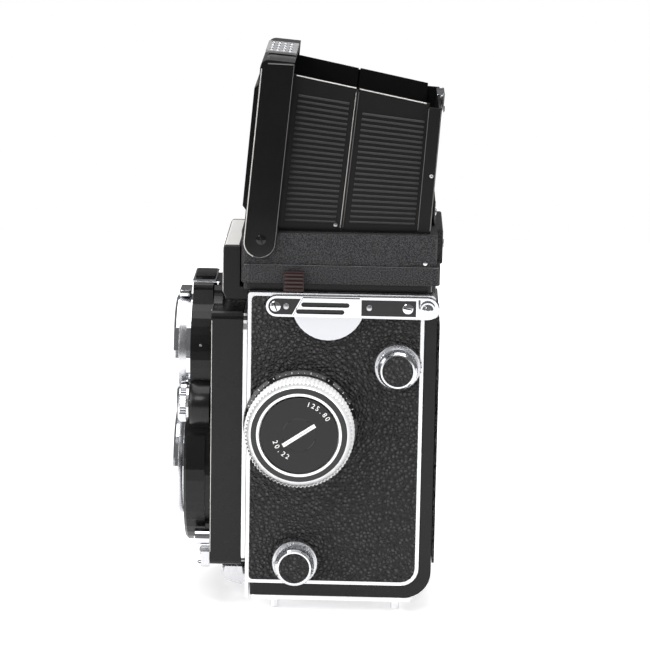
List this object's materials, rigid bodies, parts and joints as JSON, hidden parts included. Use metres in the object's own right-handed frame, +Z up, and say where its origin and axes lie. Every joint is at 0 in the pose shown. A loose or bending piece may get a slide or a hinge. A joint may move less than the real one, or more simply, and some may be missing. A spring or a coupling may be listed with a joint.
{
  "type": "twin lens reflex camera",
  "caption": "Leather-covered box camera with two lenses one above the other, a raised folding finder hood, focusing knob, spool knobs, folding crank and a hinged back.",
  "frame": {"origin": "centre of the footprint on the plane that the feet stand on", "axes": "+Z up, the lenses face -Y, the focusing knob is on +X and the film crank on -X"},
  "size_m": [0.1088, 0.1035, 0.217],
  "materials": {
    "black_paint": "semi-gloss",
    "chrome": "polished",
    "clear_glass": "polished",
    "dark_metal": "satin",
    "gloss_black": "gloss",
    "leather": "grained",
    "mirror": "polished",
    "plastic": "matte",
    "satin_metal": "satin",
    "satin_steel": "satin",
    "wrinkle_paint": "wrinkled"
  },
  "bodies": {
    "camera_body": {"body_casting": "satin_metal", "left_leather": "leather", "right_leather": "leather", "front_plate": "satin_metal", "film_gate": "black_paint", "reflex_mirror": "mirror", "screen_frame": "black_paint", "focusing_screen": "clear_glass", "meter_housing": "black_paint", "meter_cell": "clear_glass", "left_strap_plate": "chrome", "right_strap_plate": "chrome", "door_hinge_pin": "satin_steel", "upper_spool_bezel": "satin_metal", "lower_spool_bezel": "satin_metal", "focus_scale_ring": "gloss_black", "crank_plate": "gloss_black"},
    "door": {"back_door": "black_paint", "rear_leather": "leather", "base_plate": "satin_metal", "pressure_plate": "dark_metal"},
    "latch": {"door_latch": "satin_metal"},
    "front": {"lens_standard": "black_paint", "lens_board": "black_paint", "viewing_lens_ring": "chrome", "taking_lens_ring": "chrome", "shutter_housing": "dark_metal", "viewing_lens": "clear_glass", "taking_lens": "clear_glass", "flash_socket": "chrome"},
    "aperture": {"aperture_wheel": "satin_metal"},
    "speed": {"shutter_speed_wheel": "satin_metal"},
    "release": {"release_button": "chrome"},
    "guard": {"release_guard": "satin_metal"},
    "timer": {"timer_lever": "satin_metal"},
    "focus_drive": {"focus_knob": "satin_metal"},
    "film_dial": {"film_speed_dial": "gloss_black"},
    "takeup": {"takeup_spool": "plastic"},
    "supply": {"supply_spool": "plastic"},
    "upper_roller": {"upper_film_roller": "satin_steel"},
    "lower_roller": {"lower_film_roller": "satin_steel"},
    "upper_spindle": {"upper_spool_spindle": "satin_steel"},
    "upper_knob": {"upper_spool_knob": "chrome"},
    "lower_spindle": {"lower_spool_spindle": "satin_steel"},
    "lower_knob": {"lower_spool_knob": "chrome"},
    "crank": {"film_crank": "satin_metal"},
    "handle": {"crank_handle": "satin_metal"},
    "hood": {"hood_base": "wrinkle_paint", "hood_lid": "gloss_black", "lid_lift_plate": "chrome", "hood_back": "black_paint"},
    "flap": {"finder_flap": "gloss_black"},
    "magnifier": {"magnifier_frame": "black_paint", "magnifier_lens": "clear_glass"},
    "left_front_fold": {"left_front_leaf": "black_paint"},
    "left_rear_fold": {"left_rear_leaf": "black_paint"},
    "right_front_fold": {"right_front_leaf": "black_paint"},
    "right_rear_fold": {"right_rear_leaf": "black_paint"},
    "left_hood_slide": {"left_hood_latch": "plastic"},
    "right_hood_slide": {"right_hood_latch": "plastic"}
  },
  "joints": [
    {"name": "front_focus", "type": "slide", "parent": "camera_body", "child": "front", "axis": [0, -1, 0], "range_m": [0, 0.009]},
    {"name": "focus_turn", "type": "hinge", "parent": "camera_body", "child": "focus_drive", "pos_m": [0, -0.0016, 0.0756], "axis": [-1, 0, 0], "range_deg": [0, 152]},
    {"name": "film_dial_turn", "type": "hinge", "parent": "focus_drive", "child": "film_dial", "pos_m": [0, -0.0016, 0.0756], "axis": [1, 0, 0], "continuous": true},
    {"name": "door_swing", "type": "hinge", "parent": "camera_body", "child": "door", "pos_m": [0, 0.0478, 0.1213], "axis": [1, 0, 0], "range_deg": [0, 120]},
    {"name": "latch_swing", "type": "hinge", "parent": "door", "child": "latch", "pos_m": [0, -0.0222, 0.0087], "axis": [1, 0, 0], "range_deg": [0, 40]},
    {"name": "aperture_turn", "type": "hinge", "parent": "front", "child": "aperture", "pos_m": [0.0226, -0.0453, 0.0795], "axis": [0, 1, 0], "range_deg": [-90, 90]},
    {"name": "speed_turn", "type": "hinge", "parent": "front", "child": "speed", "pos_m": [-0.0226, -0.0453, 0.0795], "axis": [0, 1, 0], "range_deg": [-90, 90]},
    {"name": "release_press", "type": "slide", "parent": "front", "child": "release", "axis": [0, 1, 0], "range_m": [0, 0.002], "stiffness_N_per_m": 400},
    {"name": "guard_turn", "type": "hinge", "parent": "front", "child": "guard", "pos_m": [-0.0263, -0.0368, 0.0244], "axis": [0, 1, 0], "range_deg": [0, 60]},
    {"name": "timer_swing", "type": "hinge", "parent": "front", "child": "timer", "pos_m": [0.0266, -0.0368, 0.021], "axis": [0, 1, 0], "range_deg": [0, 60]},
    {"name": "takeup_turn", "type": "hinge", "parent": "camera_body", "child": "takeup", "pos_m": [0, 0.0353, 0.0996], "axis": [1, 0, 0], "continuous": true},
    {"name": "supply_turn", "type": "hinge", "parent": "camera_body", "child": "supply", "pos_m": [0, -0.0029, 0.0209], "axis": [1, 0, 0], "continuous": true},
    {"name": "upper_roller_turn", "type": "hinge", "parent": "camera_body", "child": "upper_roller", "pos_m": [0, 0.0412, 0.0849], "axis": [1, 0, 0], "continuous": true},
    {"name": "lower_roller_turn", "type": "hinge", "parent": "camera_body", "child": "lower_roller", "pos_m": [0, 0.0404, 0.0162], "axis": [1, 0, 0], "continuous": true},
    {"name": "upper_spindle_pull", "type": "slide", "parent": "camera_body", "child": "upper_spindle", "axis": [1, 0, 0], "range_m": [0, 0.006]},
    {"name": "upper_knob_turn", "type": "hinge", "parent": "upper_spindle", "child": "upper_knob", "pos_m": [0, 0.0353, 0.0996], "axis": [1, 0, 0], "continuous": true},
    {"name": "lower_spindle_pull", "type": "slide", "parent": "camera_body", "child": "lower_spindle", "axis": [1, 0, 0], "range_m": [0, 0.006]},
    {"name": "lower_knob_turn", "type": "hinge", "parent": "lower_spindle", "child": "lower_knob", "pos_m": [0, -0.0029, 0.0209], "axis": [1, 0, 0], "continuous": true},
    {"name": "crank_turn", "type": "hinge", "parent": "camera_body", "child": "crank", "pos_m": [0, 0.015, 0.086], "axis": [1, 0, 0], "continuous": true},
    {"name": "handle_fold", "type": "hinge", "parent": "crank", "child": "handle", "pos_m": [-0.0518, -0.00532, 0.06], "axis": [0, -0.788, 0.6157], "range_deg": [0, 90]},
    {"name": "hood_lift", "type": "slide", "parent": "camera_body", "child": "hood", "axis": [0, 0, 1], "range_m": [0, 0.02]},
    {"name": "flap_swing", "type": "hinge", "parent": "hood", "child": "flap", "pos_m": [0, -0.02266, 0.15588], "axis": [1, 0, 0], "range_deg": [-45, 0]},
    {"name": "magnifier_swing", "type": "hinge", "parent": "flap", "child": "magnifier", "pos_m": [0, -0.01711, 0.19826], "axis": [-1, 0, 0], "range_deg": [-90, 0]},
    {"name": "left_front_fold", "type": "hinge", "parent": "hood", "child": "left_front_fold", "pos_m": [0.0293, -0.01283, 0.1501], "axis": [0, 0.088, 0.9961], "range_deg": [0, 88]},
    {"name": "right_front_fold", "type": "hinge", "parent": "hood", "child": "right_front_fold", "pos_m": [-0.0293, -0.01283, 0.1501], "axis": [0, -0.088, -0.9961], "range_deg": [0, 88]},
    {"name": "left_rear_fold", "type": "hinge", "parent": "hood", "child": "left_rear_fold", "pos_m": [0.0293, 0.04191, 0.1501], "axis": [0, -0.068, -0.9977], "range_deg": [0, 88]},
    {"name": "right_rear_fold", "type": "hinge", "parent": "hood", "child": "right_rear_fold", "pos_m": [-0.0293, 0.04191, 0.1501], "axis": [0, 0.068, 0.9977], "range_deg": [0, 88]},
    {"name": "left_hood_latch_slide", "type": "slide", "parent": "camera_body", "child": "left_hood_slide", "axis": [0, -1, 0], "range_m": [0, 0.003], "stiffness_N_per_m": 200},
    {"name": "right_hood_latch_slide", "type": "slide", "parent": "camera_body", "child": "right_hood_slide", "axis": [0, -1, 0], "range_m": [0, 0.003], "stiffness_N_per_m": 200}
  ],
  "couplings": [
    {"joint": "focus_turn", "follows": "front_focus", "rad_per_m": 294.12},
    {"joint": "left_front_fold", "follows": "left_rear_fold", "ratio": 1},
    {"joint": "right_front_fold", "follows": "left_rear_fold", "ratio": 1},
    {"joint": "right_rear_fold", "follows": "left_rear_fold", "ratio": 1},
    {"joint": "takeup_turn", "follows": "crank_turn", "ratio": 1}
  ]
}
